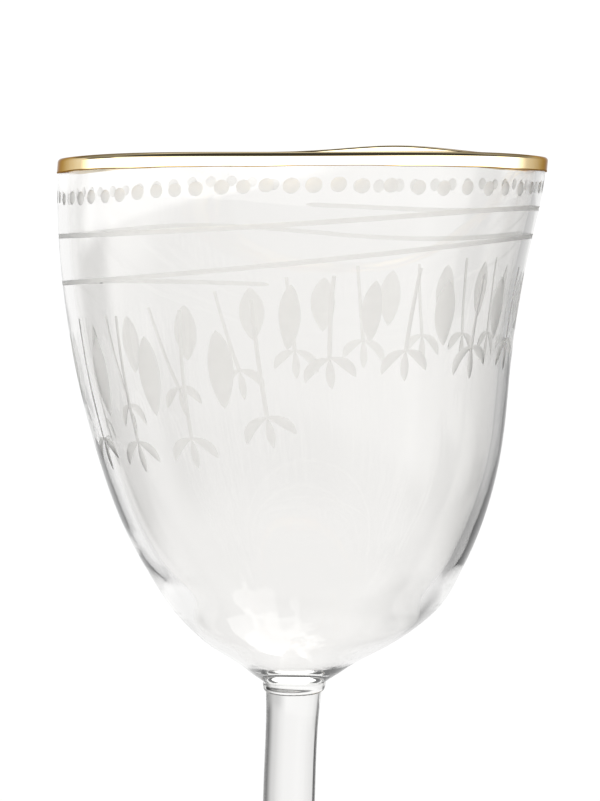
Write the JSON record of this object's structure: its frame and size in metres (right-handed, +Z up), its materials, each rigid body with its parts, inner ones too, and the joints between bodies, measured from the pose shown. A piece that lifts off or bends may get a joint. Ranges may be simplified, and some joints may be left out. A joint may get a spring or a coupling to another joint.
{
  "type": "wine glass",
  "caption": "Hand-blown clear wine glass with a deep flared bowl, gilt lip, small collar, plain drawn stem and low conical foot.",
  "frame": {"origin": "on the table, under the centre of the rim", "axes": "+Z up along the stem, +X to the right and +Y away from the side that shows the meeting of the garland"},
  "size_m": [0.0721, 0.072, 0.1488],
  "materials": {
    "clear_glass": "fire-polished clear glass with a very faint grey-green cast",
    "engraved_glass": "matt wheel-ground surface of the engraved ornament",
    "fired_gold": "burnished fired gold, slightly worn along its edges"
  },
  "bodies": {
    "root": {"bowl": "clear_glass", "rim_gilding": "fired_gold", "stem_collar": "clear_glass", "stem": "clear_glass", "foot": "clear_glass"}
  },
  "joints": []
}
